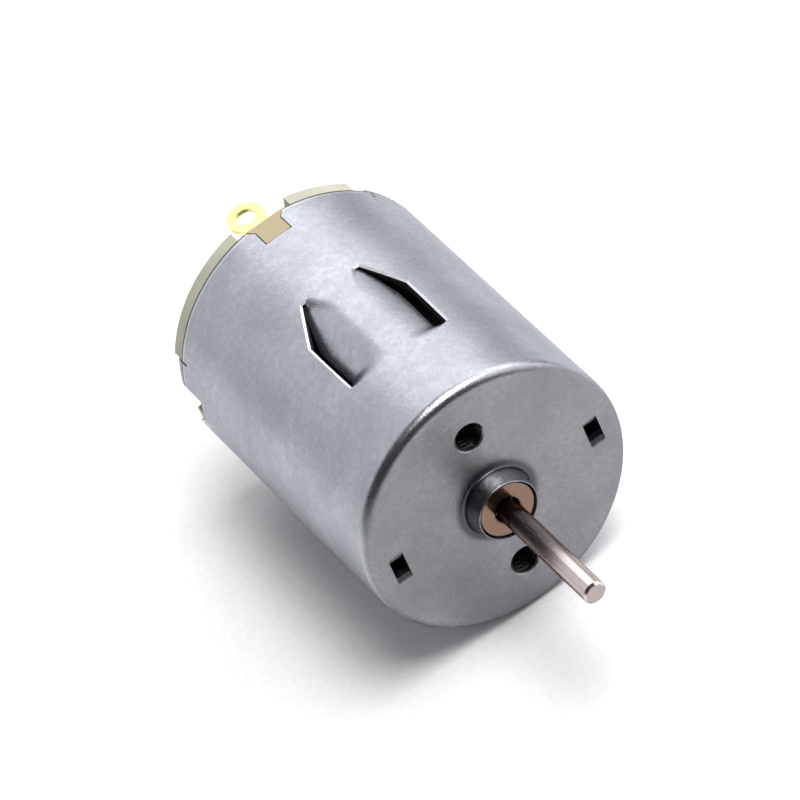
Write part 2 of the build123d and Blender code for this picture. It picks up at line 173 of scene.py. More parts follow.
# ---------------------------------------------------------------- the tent's brightness
TENT_LOW, TENT_HIGH = 0.85, 1.0
TENT_RIGHT = 0.8
TENT_HORIZON = 0.2
TENT_AHEAD = 0.07


# ---------------------------------------------------------------- node helpers
class Graph:
    """A small helper that adds shader nodes and links them."""

    def __init__(self, name):
        self.mat = bpy.data.materials.new(name)
        self.mat.use_nodes = True
        self.tree = self.mat.node_tree
        self.tree.nodes.clear()
        self.out = self.add("ShaderNodeOutputMaterial")
        self.bsdf = self.add("ShaderNodeBsdfPrincipled")
        self.link(self.bsdf.outputs[0], self.out.inputs[0])
        coords = self.add("ShaderNodeTexCoord")
        scale = self.add("ShaderNodeVectorMath", operation="SCALE")
        scale.inputs[3].default_value = 1 / MM
        self.link(coords.outputs["Object"], scale.inputs[0])
        self.mm = scale.outputs[0]

    def add(self, kind, **settings):
        node = self.tree.nodes.new(kind)
        for key, value in settings.items():
            setattr(node, key, value)
        return node

    def link(self, a, b):
        self.tree.links.new(a, b)

    def put(self, socket, value):
        """Links a socket to value, or sets it to value."""
        if isinstance(value, bpy.types.NodeSocket):
            self.link(value, socket)
        elif isinstance(value, tuple) and len(value) == 3 and socket.type == "RGBA":
            socket.default_value = (*value, 1)
        else:
            socket.default_value = value

    def stretch(self, x, y, z):
        """The place in millimetres, scaled on each axis, to draw a pattern out."""
        node = self.add("ShaderNodeVectorMath", operation="MULTIPLY")
        self.link(self.mm, node.inputs[0])
        node.inputs[1].default_value = (x, y, z)
        return node.outputs[0]

    def noise(self, scale, detail=3, rough=0.55, vector=None, distortion=0.0):
        """Fractal noise, at scale features per millimetre."""
        node = self.add("ShaderNodeTexNoise")
        self.link(vector or self.mm, node.inputs["Vector"])
        node.inputs["Scale"].default_value = scale
        node.inputs["Detail"].default_value = detail
        node.inputs["Roughness"].default_value = rough
        node.inputs["Distortion"].default_value = distortion
        return node.outputs["Fac"]

    def cells(self, scale, vector=None):
        """The distance from scattered specks."""
        node = self.add("ShaderNodeTexVoronoi")
        self.link(vector or self.mm, node.inputs["Vector"])
        node.inputs["Scale"].default_value = scale
        return node.outputs["Distance"]

    def range(self, value, low, high, to_low=0.0, to_high=1.0):
        """Maps low and high to to_low and to_high, and holds them past the ends."""
        node = self.add("ShaderNodeMapRange")
        self.put(node.inputs[0], value)
        for i, v in enumerate((low, high, to_low, to_high), 1):
            node.inputs[i].default_value = v
        return node.outputs[0]

    def ramp(self, fac, *stops):
        """A colour ramp over (place, colour) stops."""
        node = self.add("ShaderNodeValToRGB")
        self.put(node.inputs[0], fac)
        elements = node.color_ramp.elements
        while len(elements) < len(stops):
            elements.new(0.5)
        for element, (at, colour) in zip(elements, stops):
            element.position = at
            element.color = (*colour, 1)
        return node.outputs[0]

    def mix(self, fac, a, b, blend="MIX"):
        node = self.add("ShaderNodeMix", data_type="RGBA", blend_type=blend)
        self.put(node.inputs[0], fac)
        self.put(node.inputs[6], a)
        self.put(node.inputs[7], b)
        return node.outputs[2]

    def maths(self, operation, a, b=0.0):
        node = self.add("ShaderNodeMath", operation=operation)
        self.put(node.inputs[0], a)
        self.put(node.inputs[1], b)
        return node.outputs[0]

    def bump(self, height, distance_mm, strength=1.0):
        node = self.add("ShaderNodeBump")
        self.put(node.inputs["Height"], height)
        node.inputs["Distance"].default_value = distance_mm * MM
        node.inputs["Strength"].default_value = strength
        return node.outputs[0]

    def axis(self, name):
        """X, Y or Z of the place, in millimetres."""
        node = self.add("ShaderNodeSeparateXYZ")
        self.link(self.mm, node.inputs[0])
        return node.outputs[name]

    def radius(self):
        """The distance from the shaft's axis, in millimetres."""
        x, z = self.axis("X"), self.axis("Z")
        return self.maths("SQRT", self.maths("ADD", self.maths("MULTIPLY", x, x),
                                             self.maths("MULTIPLY", z, z)))

    def set(self, **values):
        """Sets or links the shader's own sockets, and returns the material."""
        for key, value in values.items():
            self.put(self.bsdf.inputs[key.replace("_", " ")], value)
        return self.mat


# ---------------------------------------------------------------- materials
def zinc_plate():
    """Satin zinc plate on drawn steel: lilac-grey clouds, fine mottling, specks and faint scratches.

    The front face, the boss's root and a line along the rear edge are painted darker by place, to match
    the photograph. Part of that is light and shadow there, so they stay dark in any other light.
    """
    g = Graph("zinc_plate")
    clouds = g.noise(0.22, 3, 0.5, distortion=0.4)
    mottle = g.noise(1.7, 5, 0.7)
    fine = g.noise(6.0, 4, 0.75)
    bright = g.range(g.cells(1.7), 0.03, 0.11, 1, 0)
    dark = g.range(g.cells(1.25, g.stretch(1.0, 0.8, 1.0)), 0.025, 0.08, 1, 0)
    y, radius = g.axis("Y"), g.radius()
    side_wall = g.range(y, 0.25, 0.65)
    hair = g.range(g.noise(1.0, 2, 0.5, g.stretch(0.5, 6.0, 0.8), 1.2), 0.68, 0.72)
    hair = g.maths("MULTIPLY", hair, g.maths("MULTIPLY", side_wall, 0.25))
    base = g.ramp(clouds, (0.32, (0.41, 0.42, 0.46)), (0.68, (0.53, 0.54, 0.575)))
    base = g.mix(g.range(mottle, 0.38, 0.62, 0.0, 0.5), base, (0.36, 0.368, 0.395))
    base = g.mix(g.range(fine, 0.48, 0.66, 0, 0.4), base, (0.60, 0.605, 0.65))
    base = g.mix(g.maths("MULTIPLY", bright, 0.5), base, (0.85, 0.85, 0.86))
    base = g.mix(g.maths("MULTIPLY", dark, 0.5), base, (0.10, 0.10, 0.11))
    base = g.mix(hair, base, (0.78, 0.78, 0.80))
    # Painted shade and reflection: the front face, its corner and the boss are multiplied darker.
    face = g.maths("SUBTRACT", 1.0, side_wall)
    base = g.mix(face, base, (0.53, 0.525, 0.52), "MULTIPLY")
    # A painted highlight along the rear edge, then a line of painted shade for the gap at the end cap.
    rim = g.maths("MULTIPLY", g.range(y, CAN_END - 0.42, CAN_END - 0.30),
                  g.range(y, CAN_END - 0.20, CAN_END - 0.12, 1, 0))
    base = g.mix(g.maths("MULTIPLY", rim, 0.5), base, (0.80, 0.80, 0.82))
    gap = g.maths("MULTIPLY", g.range(y, CAN_END - 0.17, CAN_END - 0.12),
                  g.range(y, CAN_END, CAN_END + 0.05, 1, 0))
    base = g.mix(g.maths("MULTIPLY", gap, 0.85), base, (0.05, 0.05, 0.055))
    # Painted shade at the boss's root: soft up its side, and darker where it meets the face.
    root = g.maths("MULTIPLY", g.range(radius, 3.1, 4.3, 1, 0), g.range(y, -1.1, -0.3, 0, 0.3))
    base = g.mix(root, base, (0.10, 0.10, 0.115))
    crease = g.maths("MULTIPLY", g.range(radius, 3.45, 3.9, 1, 0), g.range(y, -0.5, -0.22, 0, 0.8))
    base = g.mix(crease, base, (0.06, 0.06, 0.075))
    texture = g.maths("ADD", g.maths("MULTIPLY", mottle, 0.5), g.maths("MULTIPLY", fine, 0.5))
    rough = g.range(texture, 0.38, 0.62, 0.24, 0.36)
    height = g.maths("ADD", g.maths("MULTIPLY", mottle, 0.7), g.maths("MULTIPLY", fine, 0.3))
    height = g.maths("SUBTRACT", height, g.maths("MULTIPLY", dark, 0.2))
    return g.set(Base_Color=base, Metallic=1.0, Roughness=rough, Normal=g.bump(height, 0.045, 0.8),
                 Specular_Tint=(0.6, 0.605, 0.64))


def sheared_steel_shade():
    """The inside of a punched edge, painted nearly black, as the slots and vents look in the photograph."""
    # Painted shade: nearly black, for the shade inside the vents' cuts and at the boss's inner edge.
    g = Graph("sheared_steel_shade")
    tear = g.noise(3.0, 4, 0.7, g.stretch(1, 0.4, 1))
    base = g.ramp(tear, (0.35, (0.012, 0.012, 0.014)), (0.7, (0.05, 0.05, 0.055)))
    return g.set(Base_Color=base, Metallic=0.6, Roughness=g.range(tear, 0.3, 0.7, 0.5, 0.8),
                 Normal=g.bump(tear, 0.03, 0.5))


def burnished_edge_highlight():
    """The rubbed corner along a punched edge: a real burnished band, painted bright as a highlight."""
    g = Graph("burnished_edge_highlight")
    wear = g.noise(4.0, 4, 0.7)
    base = g.ramp(wear, (0.3, (0.66, 0.66, 0.68)), (0.7, (0.92, 0.92, 0.93)))
    return g.set(Base_Color=base, Metallic=0.35, Roughness=g.range(wear, 0.3, 0.7, 0.25, 0.45),
                 Normal=g.bump(wear, 0.02, 0.5))


def thread_shade():
    """The tapped thread, painted nearly black, as the holes look in the photograph."""
    # Painted shade: nearly black, for the shade inside the deep holes.
    g = Graph("thread_shade")
    thread_mottle = g.noise(3.0, 4, 0.65)
    base = g.ramp(thread_mottle, (0.35, (0.008, 0.008, 0.009)), (0.7, (0.035, 0.034, 0.033)))
    return g.set(Base_Color=base, Metallic=0.9, Roughness=g.range(thread_mottle, 0.3, 0.7, 0.22, 0.42),
                 Normal=g.bump(thread_mottle, 0.01, 0.5))


def ivory_nylon():
    """Moulded ivory nylon; the key that fills the can's notch is painted darker, as in the photograph."""
    g = Graph("ivory_nylon")
    clouds = g.noise(0.35, 3, 0.5)
    fine = g.noise(14.0, 3, 0.6)
    base = g.ramp(clouds, (0.35, (0.41, 0.405, 0.32)), (0.65, (0.47, 0.465, 0.375)))
    base = g.mix(g.range(fine, 0.4, 0.8, 0, 0.25), base, (0.53, 0.525, 0.43))
    key = g.maths("MULTIPLY", g.range(g.radius(), 11.3, 11.6),
                  g.range(g.axis("Y"), CAN_END, CAN_END + 0.1, 1, 0))
    base = g.mix(g.maths("MULTIPLY", key, 0.9), base, (0.41, 0.335, 0.19))
    rough = g.range(fine, 0.3, 0.7, 0.38, 0.52)
    g.set(Base_Color=base, Roughness=rough, Normal=g.bump(fine, 0.01, 0.5))
    g.bsdf.inputs["Subsurface Weight"].default_value = 0.25
    g.bsdf.inputs["Subsurface Radius"].default_value = (1.0, 0.8, 0.4)
    g.bsdf.inputs["Subsurface Scale"].default_value = 0.0008
    return g.mat


def sintered_bronze():
    """Pressed bronze powder, tan and pitted, painted darker round the shaft and along its rim."""
    g = Graph("sintered_bronze")
    grain = g.noise(11.0, 4, 0.75)
    pits = g.range(g.cells(5.5), 0.05, 0.2, 1, 0)
    blotch = g.noise(0.9, 3, 0.6)
    base = g.ramp(grain, (0.3, (0.205, 0.128, 0.094)), (0.7, (0.265, 0.172, 0.13)))
    base = g.mix(g.maths("MULTIPLY", pits, 0.55), base, (0.10, 0.055, 0.035))
    # Partly an oil stain, partly painted shade and reflection of the shaft: darker round the shaft.
    oil_and_shade = g.maths("ADD", g.radius(), g.maths("MULTIPLY", blotch, 0.9))
    base = g.mix(g.range(oil_and_shade, 1.5, 1.8, 0.9, 0.0), base, (0.02, 0.011, 0.008))
    # Painted shade: a near-black ring at the bush's edge, for the gap round it.
    base = g.mix(g.range(g.radius(), 2.36, 2.44, 0.0, 0.96), base, (0.012, 0.008, 0.007))
    rough = g.range(grain, 0.3, 0.7, 0.08, 0.20)
    return g.set(Base_Color=base, Metallic=0.95, Roughness=rough,
                 Normal=g.bump(g.maths("SUBTRACT", grain, pits), 0.006, 0.5))


def bright_brass():
    """Rolled brass strip, bright yellow with faint lines along it."""
    g = Graph("bright_brass")
    clouds = g.noise(0.9, 4, 0.6)
    rolled = g.noise(1.0, 3, 0.6, g.stretch(9, 0.5, 9))
    base = g.ramp(clouds, (0.35, (0.74, 0.60, 0.24)), (0.65, (0.86, 0.74, 0.34)))
    rough = g.range(rolled, 0.3, 0.7, 0.20, 0.36)
    return g.set(Base_Color=base, Metallic=1.0, Roughness=rough, Normal=g.bump(rolled, 0.008, 0.5))


def ground_shaft():
    """Ground and polished steel: fine rings and faint draw lines, brownish.

    It is painted almost black towards the bush, to match the photograph in any light.
    """
    g = Graph("ground_shaft")
    rings = g.noise(1.0, 3, 0.6, g.stretch(0.6, 26, 0.6))
    lengthwise = g.noise(1.0, 2, 0.5, g.stretch(4.0, 0.05, 4.0))
    y = g.axis("Y")
    # Darker and browner towards the bush; the last part by the bush is painted almost black, a painted
    # shade and reflection.
    base = g.mix(g.range(y, -11.0, -3.5, 0, 1), (0.68, 0.60, 0.565), (0.57, 0.465, 0.43))
    base = g.mix(g.range(lengthwise, 0.45, 0.60, 0, 0.22), base, (0.30, 0.235, 0.215))
    base = g.mix(g.range(y, -5.4, -2.2, 0, 0.93), base, (0.035, 0.023, 0.02))
    base = g.mix(g.range(y, -14.69, -14.66, 0.75, 0), base, (0.33, 0.28, 0.265))
    rough = g.range(rings, 0.3, 0.7, 0.14, 0.22)
    return g.set(Base_Color=base, Metallic=1.0, Roughness=rough, Specular_Tint=(0.30, 0.24, 0.22),
                 Normal=g.bump(rings, 0.0035, 0.5))


def speckled(name, dark, light, metal, rough_low, rough_high, scale=8.0, depth=0.015, stretch=None):
    """A general fine-grained surface between two tones, for the pieces inside."""
    g = Graph(name)
    vector = g.stretch(*stretch) if stretch else None
    grain = g.noise(scale, 4, 0.65, vector)
    clouds = g.noise(0.7, 3, 0.55)
    base = g.ramp(g.maths("ADD", g.maths("MULTIPLY", grain, 0.6), g.maths("MULTIPLY", clouds, 0.4)),
                  (0.35, dark), (0.65, light))
    rough = g.range(grain, 0.3, 0.7, rough_low, rough_high)
    return g.set(Base_Color=base, Metallic=metal, Roughness=rough, Normal=g.bump(grain, depth, 0.6))


MATERIALS = {
    "can_steel": zinc_plate(),
    "nylon": ivory_nylon(),
    "sintered_bronze": sintered_bronze(),
    "terminal_brass": bright_brass(),
    "shaft_steel": ground_shaft(),
    "phosphor_bronze": speckled("phosphor_bronze", (0.58, 0.32, 0.16), (0.76, 0.46, 0.26), 1.0,
                                0.24, 0.4, 1.0, 0.008, (0.6, 9, 0.6)),
    "carbon": speckled("carbon", (0.014, 0.013, 0.013), (0.05, 0.045, 0.04), 0.2, 0.45, 0.7, 12),
    "damper_rubber": speckled("damper_rubber", (0.012, 0.012, 0.012), (0.03, 0.03, 0.03), 0.0,
                              0.6, 0.85, 6),
    "ferrite": speckled("ferrite", (0.035, 0.035, 0.038), (0.085, 0.085, 0.09), 0.3,
                        0.45, 0.7, 5, 0.03),
    "spring_steel": speckled("spring_steel", (0.24, 0.25, 0.29), (0.42, 0.42, 0.45), 1.0,
                             0.25, 0.4, 1.0, 0.006, (0.6, 8, 0.6)),
    "core_steel": speckled("core_steel", (0.12, 0.115, 0.11), (0.26, 0.25, 0.245), 1.0,
                           0.35, 0.6, 7, 0.02),
    "fibre": speckled("fibre", (0.26, 0.075, 0.03), (0.42, 0.15, 0.07), 0.0,
                      0.5, 0.75, 4, 0.02, (1, 6, 1)),
    "enamelled_copper": speckled("enamelled_copper", (0.42, 0.13, 0.035), (0.66, 0.26, 0.09), 0.9,
                                 0.16, 0.32, 5, 0.006),
    "phenolic": speckled("phenolic", (0.05, 0.02, 0.012), (0.11, 0.045, 0.025), 0.0, 0.35, 0.55, 5),
    "commutator_copper": speckled("commutator_copper", (0.55, 0.27, 0.16), (0.80, 0.45, 0.30), 1.0,
                                  0.18, 0.34, 1.0, 0.008, (0.5, 22, 0.5)),
    "solder": speckled("solder", (0.52, 0.52, 0.54), (0.72, 0.72, 0.74), 1.0, 0.15, 0.32, 3, 0.02),
    "nylon_white": speckled("nylon_white", (0.68, 0.68, 0.64), (0.80, 0.80, 0.77), 0.0, 0.4, 0.6, 6),
}
SHEARED_SHADE = sheared_steel_shade()
BURNISHED_HIGHLIGHT = burnished_edge_highlight()
THREAD = thread_shade()


def paint_cad_pieces():
    """Gives every CAD node the material of its slot."""
    for part in frame["record"]["subparts"]:
        data = frame["nodes"][part["node"]].data
        data.materials.clear()
        data.materials.append(MATERIALS[part["material_slot"]])


paint_cad_pieces()


# ---------------------------------------------------------------- mesh helpers
def polar(angle, radius, y):
    """A point in the model, from its angle in degrees, radius and y, in millimetres."""
    turn = radians(angle)
    return Vector((-radius * sin(turn), y, radius * cos(turn)))


def inside(x, y, outline):
    """True if the point is in the closed outline."""
    hit = False
    for (ax, ay), (bx, by) in zip(outline, outline[1:] + outline[:1]):
        if (ay > y) != (by > y) and x < ax + (y - ay) * (bx - ax) / (by - ay):
            hit = not hit
    return hit


def divided(points, step, closed=False):
    """The outline's points, with more points on its sides, about step apart."""
    result = []
    ends = points[1:] + points[:1] if closed else points[1:]
    for a, b in zip(points, ends):
        count = max(1, round(hypot(b[0] - a[0], b[1] - a[1]) / step))
        for i in range(count):
            result.append((a[0] + (b[0] - a[0]) * i / count, a[1] + (b[1] - a[1]) * i / count))
    if not closed:
        result.append(points[-1])
    return result


def circle(radius, count, at=(0, 0)):
    """Points round a circle."""
    return [(at[0] + radius * cos(2 * pi * i / count), at[1] + radius * sin(2 * pi * i / count))
            for i in range(count)]


def near(point, outlines, gap):
    """True if the point is closer than gap to a point of any outline."""
    return any(abs(point[0] - x) < gap and abs(point[1] - y) < gap
               and hypot(point[0] - x, point[1] - y) < gap for o in outlines for x, y in o)


def triangulate(loops, chains, loose):
    """Constrained triangles over closed loops, open chains and loose points."""
    points, edges = [], []
    for loop in loops:
        start = len(points)
        points += loop
        edges += [(start + i, start + (i + 1) % len(loop)) for i in range(len(loop))]
    for chain in chains:
        start = len(points)
        points += chain
        edges += [(start + i, start + i + 1) for i in range(len(chain) - 1)]
    points += loose
    out, _, faces, *_ = delaunay_2d_cdt([Vector(p) for p in points], edges, [], 0, 1e-5)
    return [(p.x, p.y) for p in out], faces


class Sheet:
    """A sheet-metal skin: outer points, each with its own point on the inner side."""

    def __init__(self):
        self.outer, self.inner, self.faces, self.index = [], [], [], {}

    def point(self, outer, inner):
        """The number of this outer point, which is added if it's new."""
        key = tuple(round(v * 2000) for v in outer)
        if key not in self.index:
            self.index[key] = len(self.outer)
            self.outer.append(outer)
            self.inner.append(inner)
        return self.index[key]

    def face(self, corners):
        """Adds a face from its corners' outer and inner points."""
        ids = []
        for outer, inner in corners:
            i = self.point(outer, inner)
            if i not in ids:
                ids.append(i)
        if len(ids) > 2:
            self.faces.append(ids)


def smooth(obj, angle=35):
    """Shades the piece smooth up to this angle."""
    obj.data.shade_smooth()
    obj.data.set_sharp_from_angle(angle=radians(angle))


def make(name, verts, faces, slot, body, mats=None, marks=None):
    """A mesh piece in millimetres, riding on a body.

    mats are its materials, if it has more than its slot's own, and marks says which faces take which.
    """
    data = bpy.data.meshes.new(name)
    data.from_pydata([v * MM for v in verts], [], faces)
    for mat in mats or [MATERIALS[slot]]:
        data.materials.append(mat)
    if marks:
        for i, index in marks.items():
            data.polygons[i].material_index = index
    data.validate()
    obj = bpy.data.objects.new(name, data)
    bpy.context.scene.collection.objects.link(obj)
    smooth(obj)
    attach(obj, body)
    return obj


# ---------------------------------------------------------------- the can
def rear_outline():
    """The can's rear edge as (angle, y): notches, slits and crimp ears, once round."""
    slit_y = CAN_END - SLIT_DEPTH
    notch_y, mouth_y = CAN_END - NOTCH_DEPTH, CAN_END - NOTCH_MOUTH_DEPTH
    side_y = CAN_END - SIDE_NOTCH_DEPTH
    (first, last), (low, high) = EARS
    shapes = [
        [(first - SLIT_ANGLE, CAN_END), (first - SLIT_ANGLE, slit_y), (first, slit_y), (first, EAR_END),
         (last, EAR_END), (last, slit_y), (last + SLIT_ANGLE, slit_y), (last + SLIT_ANGLE, CAN_END)],
        [(-NOTCH_MOUTH, CAN_END), (-NOTCH_THROAT, mouth_y), (-NOTCH_THROAT, notch_y),
         (NOTCH_THROAT, notch_y), (NOTCH_THROAT, mouth_y), (NOTCH_MOUTH, CAN_END)],
        [(low - SLIT_ANGLE, CAN_END), (low - SLIT_ANGLE, slit_y), (low, slit_y), (low, EAR_END),
         (high, EAR_END), (high, side_y), (SIDE_NOTCH_END, side_y), (SIDE_NOTCH_END, CAN_END)],
    ]
    groups = []
    for turn in (0, 180):
        for shape in shapes:
            group = [(turn + angle, y) for angle, y in shape]
            if group[0][0] > SEAM + 360:
                group = [(angle - 360, y) for angle, y in group]
            groups.append(group)
    return [point for group in sorted(groups) for point in group]


def dimple(u, y, side):
    """How far a vent's flap dips at this place, and how far it's drawn towards the vents' middle.

    The flap slopes down from a soft fold to its cut edge, and its two ends are rounded.
    """
    if u <= FOLD_LINE:
        return 0.0, 0.0
    ramp, short = FLAP_RAMP[side], 0.0
    for px, py, nx, ny, length in DIMPLE_ENDS:
        short += max(0.0, 1 - ((u - px) * nx + (y - py) * ny) / (ramp * length)) ** 2
    depth = max(0.0, 1 - short ** 0.5)
    depth = depth * depth * (3 - 2 * depth)
    rise = hypot(u - FOLD_LINE, FOLD_SOFTNESS) - FOLD_SOFTNESS
    reach = min(1.0, rise / (hypot(CUT_LINE - FOLD_LINE, FOLD_SOFTNESS) - FOLD_SOFTNESS))
    return FLAP_DEPTH[side] * reach * depth, FLAP_GAP[side] * reach ** 2 * min(1.0, 2 * depth)


def wall_point(angle, y, dip=0.0):
    """An outer and inner point of the can's side wall."""
    bend = EAR_BEND * max(0.0, (y - CAN_END) / EAR_LENGTH) ** 2
    radius = CAN_RADIUS - dip - bend
    squeeze = (INNER_BLEND - INNER_START) / (INNER_BLEND - WALL_START)
    inner_y = y if y > INNER_BLEND else INNER_START + (y - WALL_START) * squeeze
    return polar(angle, radius, y), polar(angle, radius - CAN_WALL, inner_y)


def wall_border():
    """The unrolled side wall's outline, as (arc length, y)."""
    left, right = SEAM * ARC, (SEAM + 360) * ARC
    front = [(left + (right - left) * i / COLUMNS, WALL_START) for i in range(COLUMNS + 1)]
    rear = divided([(right, CAN_END)] + [(a * ARC, y) for a, y in reversed(rear_outline())]
                   + [(left, CAN_END)], REAR_STEP)
    seam = [WALL_START + (CAN_END - WALL_START) * i / SEAM_STEPS for i in range(1, SEAM_STEPS)]
    return front + [(right, y) for y in seam] + rear + [(left, y) for y in reversed(seam)]


def wall_points(border, cuts):
    """Loose points over the unrolled side wall: fine round the vents, coarser elsewhere."""
    loose = []
    vents = [(turn * ARC - VENT_REACH, turn * ARC + VENT_REACH) for turn in (0, 180)]
    for low, high in vents:
        for i in range(int((high - low) / VENT_STEP)):
            for j in range(int(VENT_LENGTH / VENT_STEP)):
                p = (low + VENT_STEP * (i + 0.5 * (j % 2)), VENT_START + VENT_STEP * j)
                if not near(p, cuts, VENT_CLEAR):
                    loose.append(p)
    left, right = SEAM * ARC, (SEAM + 360) * ARC
    for i in range(int((right - left) / WALL_STEP_ROUND)):
        for j in range(int((EAR_END - WALL_START) / WALL_STEP_ALONG)):
            x = left + WALL_STEP_ROUND * (i + 0.5 + 0.5 * (j % 2))
            y = WALL_START + 0.5 + WALL_STEP_ALONG * j
            by_vent = any(low - 0.2 < x < high + 0.2 for low, high in vents)
            if by_vent and VENT_START - 0.2 < y < VENT_START + VENT_LENGTH + 0.1:
                continue
            if inside(x, y, border) and not near((x, y), [border], WALL_CLEAR):
                loose.append((x, y))
    return loose


def side_wall(sheet):
    """The cylinder, unrolled as (arc length, y), cut and pressed, then rolled back."""
    border = wall_border()
    cut = divided([(a * ARC, y) for a, y in VENT_CUT], VENT_CUT_STEP)
    flaps = [(turn * ARC, side) for turn in (0, 180) for side in (1, -1)]
    cuts = [[(middle + side * u, y) for u, y in cut] for middle, side in flaps]
    points, faces = triangulate([border], cuts, wall_points(border, cuts))
    for face in faces:
        x = sum(points[i][0] for i in face) / 3
        y = sum(points[i][1] for i in face) / 3
        if (y > CAN_END - 3 or y < WALL_START + 0.1) and not inside(x, y, border):
            continue
        flap = None
        for middle, side in flaps:
            if inside(side * (x - middle), y, cut + VENT_CLOSING):
                flap = (middle, side)
        corners = []
        for i in face:
            u, v = points[i]
            if flap is None:
                corners.append(wall_point(u / ARC, v))
                continue
            middle, side = flap
            dip, pull = dimple(side * (u - middle), v, side)
            corners.append(wall_point((u - side * pull) / ARC, v, dip))
        sheet.face(corners)


def corner_ring(sheet):
    """The rounded front corner, between the side wall and the face."""
    steps = 8
    outer, inner = CAN_RADIUS - CORNER, CAN_RADIUS - CAN_WALL - INNER_CORNER
    inner_y = FRONT_WALL + INNER_CORNER
    rows = [(CAN_RADIUS, WALL_START, CAN_RADIUS - CAN_WALL, INNER_START)]
    for i in range(steps + 1):
        turn = radians(90 * i / steps)
        rows.append((outer + CORNER * cos(turn), CORNER - CORNER * sin(turn),
                     inner + INNER_CORNER * cos(turn), inner_y - INNER_CORNER * sin(turn)))
    revolve(sheet, rows, COLUMNS)


def revolve(sheet, rows, count):
    """Rings round the shaft's axis, from rows of outer and inner radius and y."""
    for (ra, ya, ia, ja), (rb, yb, ib, jb) in zip(rows, rows[1:]):
        for k in range(count):
            a, b = SEAM + 360 * k / count, SEAM + 360 * (k + 1) / count
            sheet.face([(polar(a, ra, ya), polar(a, ia, ja)), (polar(b, ra, ya), polar(b, ia, ja)),
                        (polar(b, rb, yb), polar(b, ib, jb)), (polar(a, rb, yb), polar(a, ib, jb))])


def ring_points(radius, count):
    """A circle on the face as (x, z), with its points where the rings' points are."""
    turns = [radians(SEAM + 360 * k / count) for k in range(count)]
    return [(-radius * sin(turn), radius * cos(turn)) for turn in turns]


def slot_hole(side):
    """The part of a face slot that goes straight through, as (x, z)."""
    x = SLOT_HALF_DEPTH
    lip = x - SLOT_LIP
    points = [(x, SLOT_TOP), (lip, SLOT_TOP), (-lip, SLOT_TOP), (-x, SLOT_TOP),
              (-x, SLOT_BOTTOM), (-lip, SLOT_BOTTOM), (lip, SLOT_BOTTOM), (x, SLOT_BOTTOM)]
    return [(side * SLOT_CIRCLE + x, z) for x, z in divided(points, SLOT_STEP, closed=True)]


def slot_ramp(side, end, inset):
    """One sloping end of a face slot, as (x, z) from one side of the hole to the other."""
    x, low, high = SLOT_HALF_DEPTH - inset, SLOT_TOP, SLOT_HALF_WIDTH - inset / 2
    if end < 0:
        low, high = SLOT_BOTTOM, inset / 2 - SLOT_HALF_WIDTH
    flat_x, cut_x = x - SLOT_CORNER, x - SLOT_CORNER_CUT
    side_z, cut_z = high - end * SLOT_CORNER, high - end * SLOT_CORNER_CUT
    points = [(x, low), (x, side_z), (cut_x, cut_z), (flat_x, high),
              (-flat_x, high), (-cut_x, cut_z), (-x, side_z), (-x, low)]
    return [(side * SLOT_CIRCLE + a, b) for a, b in divided(points, SLOPE_STEP)]


def ramp_depth(x, z):
    """How far a face slot's sloping end lies behind the face."""
    start = SLOT_HALF_WIDTH - SLOT_LIP / 2
    if abs(z) > start or abs(abs(x) - SLOT_CIRCLE) > SLOT_HALF_DEPTH - SLOT_LIP * 0.9:
        return 0.0
    if z > SLOT_TOP - 1e-4:
        return SLOT_UPPER_DEPTH * ((start - z) / SLOT_UPPER_RAMP) ** SLOT_UPPER_CURVE
    if z < SLOT_BOTTOM + 1e-4:
        return SLOT_LOWER_DEPTH * ((start + z) / SLOT_LOWER_RAMP) ** SLOT_LOWER_CURVE
    return 0.0


def face_points(outlines):
    """Loose points over the mounting face, clear of its outlines, and more down the slots' slopes."""
    loose = []
    for i in range(-FACE_COUNT_X, FACE_COUNT_X + 1):
        for j in range(-FACE_COUNT_Z, FACE_COUNT_Z + 1):
            p = (FACE_STEP_X * (i + 0.5 * (j % 2)), FACE_STEP_Z * j)
            on_face = BOSS_RADIUS + BOSS_ROOT + 0.35 < hypot(*p) < CAN_RADIUS - CORNER - 0.3
            blocked = near(p, outlines, FACE_CLEAR) or any(inside(*p, o) for o in outlines)
            if on_face and not blocked:
                loose.append(p)
    for side in (1, -1):
        loose += [(side * SLOT_CIRCLE + x, z) for x in SLOPE_X for z in SLOPE_Z]
    return loose


def face_inner(x, z):
    """The inner point behind a point of the face: drawn in at the rim, pushed out to the collars."""
    radius = hypot(x, z)
    scale = 1.0
    if radius > CAN_RADIUS - CORNER - 0.01:
        scale = (CAN_RADIUS - CAN_WALL - INNER_CORNER) / radius
    inner = Vector((x * scale, FRONT_WALL, z * scale))
    for centre in (HOLE_CIRCLE, -HOLE_CIRCLE):
        away = hypot(x, z - centre)
        if away < MOUTH_RADIUS + 0.05:
            grow = COLLAR_RADIUS / away
            inner = Vector((x * grow, FRONT_WALL, centre + (z - centre) * grow))
    return inner


